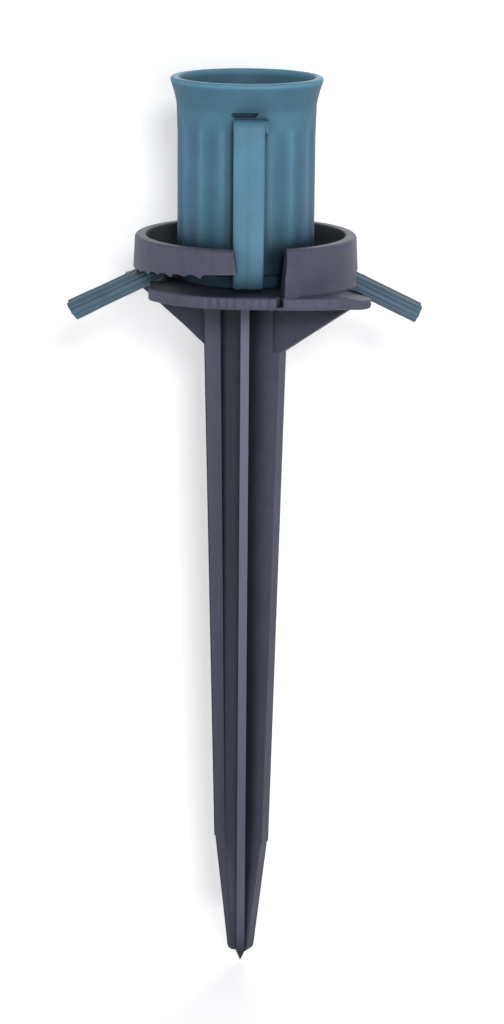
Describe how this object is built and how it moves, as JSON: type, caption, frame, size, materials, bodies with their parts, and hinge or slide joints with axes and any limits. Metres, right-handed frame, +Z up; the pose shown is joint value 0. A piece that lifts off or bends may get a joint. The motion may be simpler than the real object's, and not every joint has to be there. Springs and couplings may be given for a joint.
{
  "type": "lawn stake",
  "caption": "Plastic ground stake whose twist-lock ring holds the lamp socket of a light string, with the socket's strap clip and a short cut length of flat twin wire.",
  "frame": {"origin": "on the stake's axis at the underside of the base plate, where it rests on the soil", "axes": "+Z up along the stake's axis towards the socket's mouth, -Y to the front where the strap clip shows, +X to the right along the wire"},
  "size_m": [0.0524, 0.0348, 0.1375],
  "materials": {
    "stake_plastic": "moulded polypropylene, satin",
    "socket_plastic": "moulded plastic, fine matt",
    "wire_sheath": "extruded flexible PVC, satin",
    "contact_brass": "stamped brass strip",
    "copper_strand": "stranded copper, cut"
  },
  "bodies": {
    "stake": {"spike_blade": "stake_plastic", "gusset_right": "stake_plastic", "gusset_left": "stake_plastic", "base_plate": "stake_plastic", "ring_wall_right": "stake_plastic", "ring_wall_left": "stake_plastic", "ring_arm_right": "stake_plastic", "ring_arm_left": "stake_plastic"},
    "socket": {"socket_cap": "socket_plastic", "socket_body": "socket_plastic", "side_contact": "contact_brass", "contact_anchor": "contact_brass", "wire_sheath_middle": "wire_sheath", "cores_middle": "copper_strand"},
    "strap": {"strap_clip": "socket_plastic"},
    "centre_leaf": {"contact_leaf": "contact_brass"},
    "wire_end_right": {"wire_sheath_right": "wire_sheath", "cores_right": "copper_strand"},
    "wire_end_left": {"wire_sheath_left": "wire_sheath", "cores_left": "copper_strand"}
  },
  "joints": [
    {"name": "socket_twist", "type": "hinge", "parent": "stake", "child": "socket", "pos_m": [0, 0, 0.00185], "axis": [0, 0, 1], "range_deg": [0, 98]},
    {"name": "strap_flex", "type": "hinge", "parent": "socket", "child": "strap", "pos_m": [0.00042, -0.01214, 0.02473], "axis": [-0.9994, -0.0349, 0], "range_deg": [-2.5, 3.5], "stiffness_Nm_per_rad": 0.4},
    {"name": "centre_press", "type": "hinge", "parent": "socket", "child": "centre_leaf", "pos_m": [0.006, 0, 0.0077], "axis": [0, -1, 0], "range_deg": [0, 10], "stiffness_Nm_per_rad": 0.05},
    {"name": "wire_right_lift", "type": "hinge", "parent": "socket", "child": "wire_end_right", "pos_m": [0.0104, 0, 0.00415], "axis": [0, -1, 0], "range_deg": [0, 25.8], "deforming": ["wire_sheath_right", "cores_right"]},
    {"name": "wire_left_lift", "type": "hinge", "parent": "socket", "child": "wire_end_left", "pos_m": [-0.0104, 0, 0.00415], "axis": [0, 1, 0], "range_deg": [0, 25.8], "deforming": ["wire_sheath_left", "cores_left"]}
  ],
  "couplings": [
    {"joint": "wire_right_lift", "follows": "socket_twist", "ratio": 0.26326},
    {"joint": "wire_left_lift", "follows": "socket_twist", "ratio": 0.26326}
  ]
}
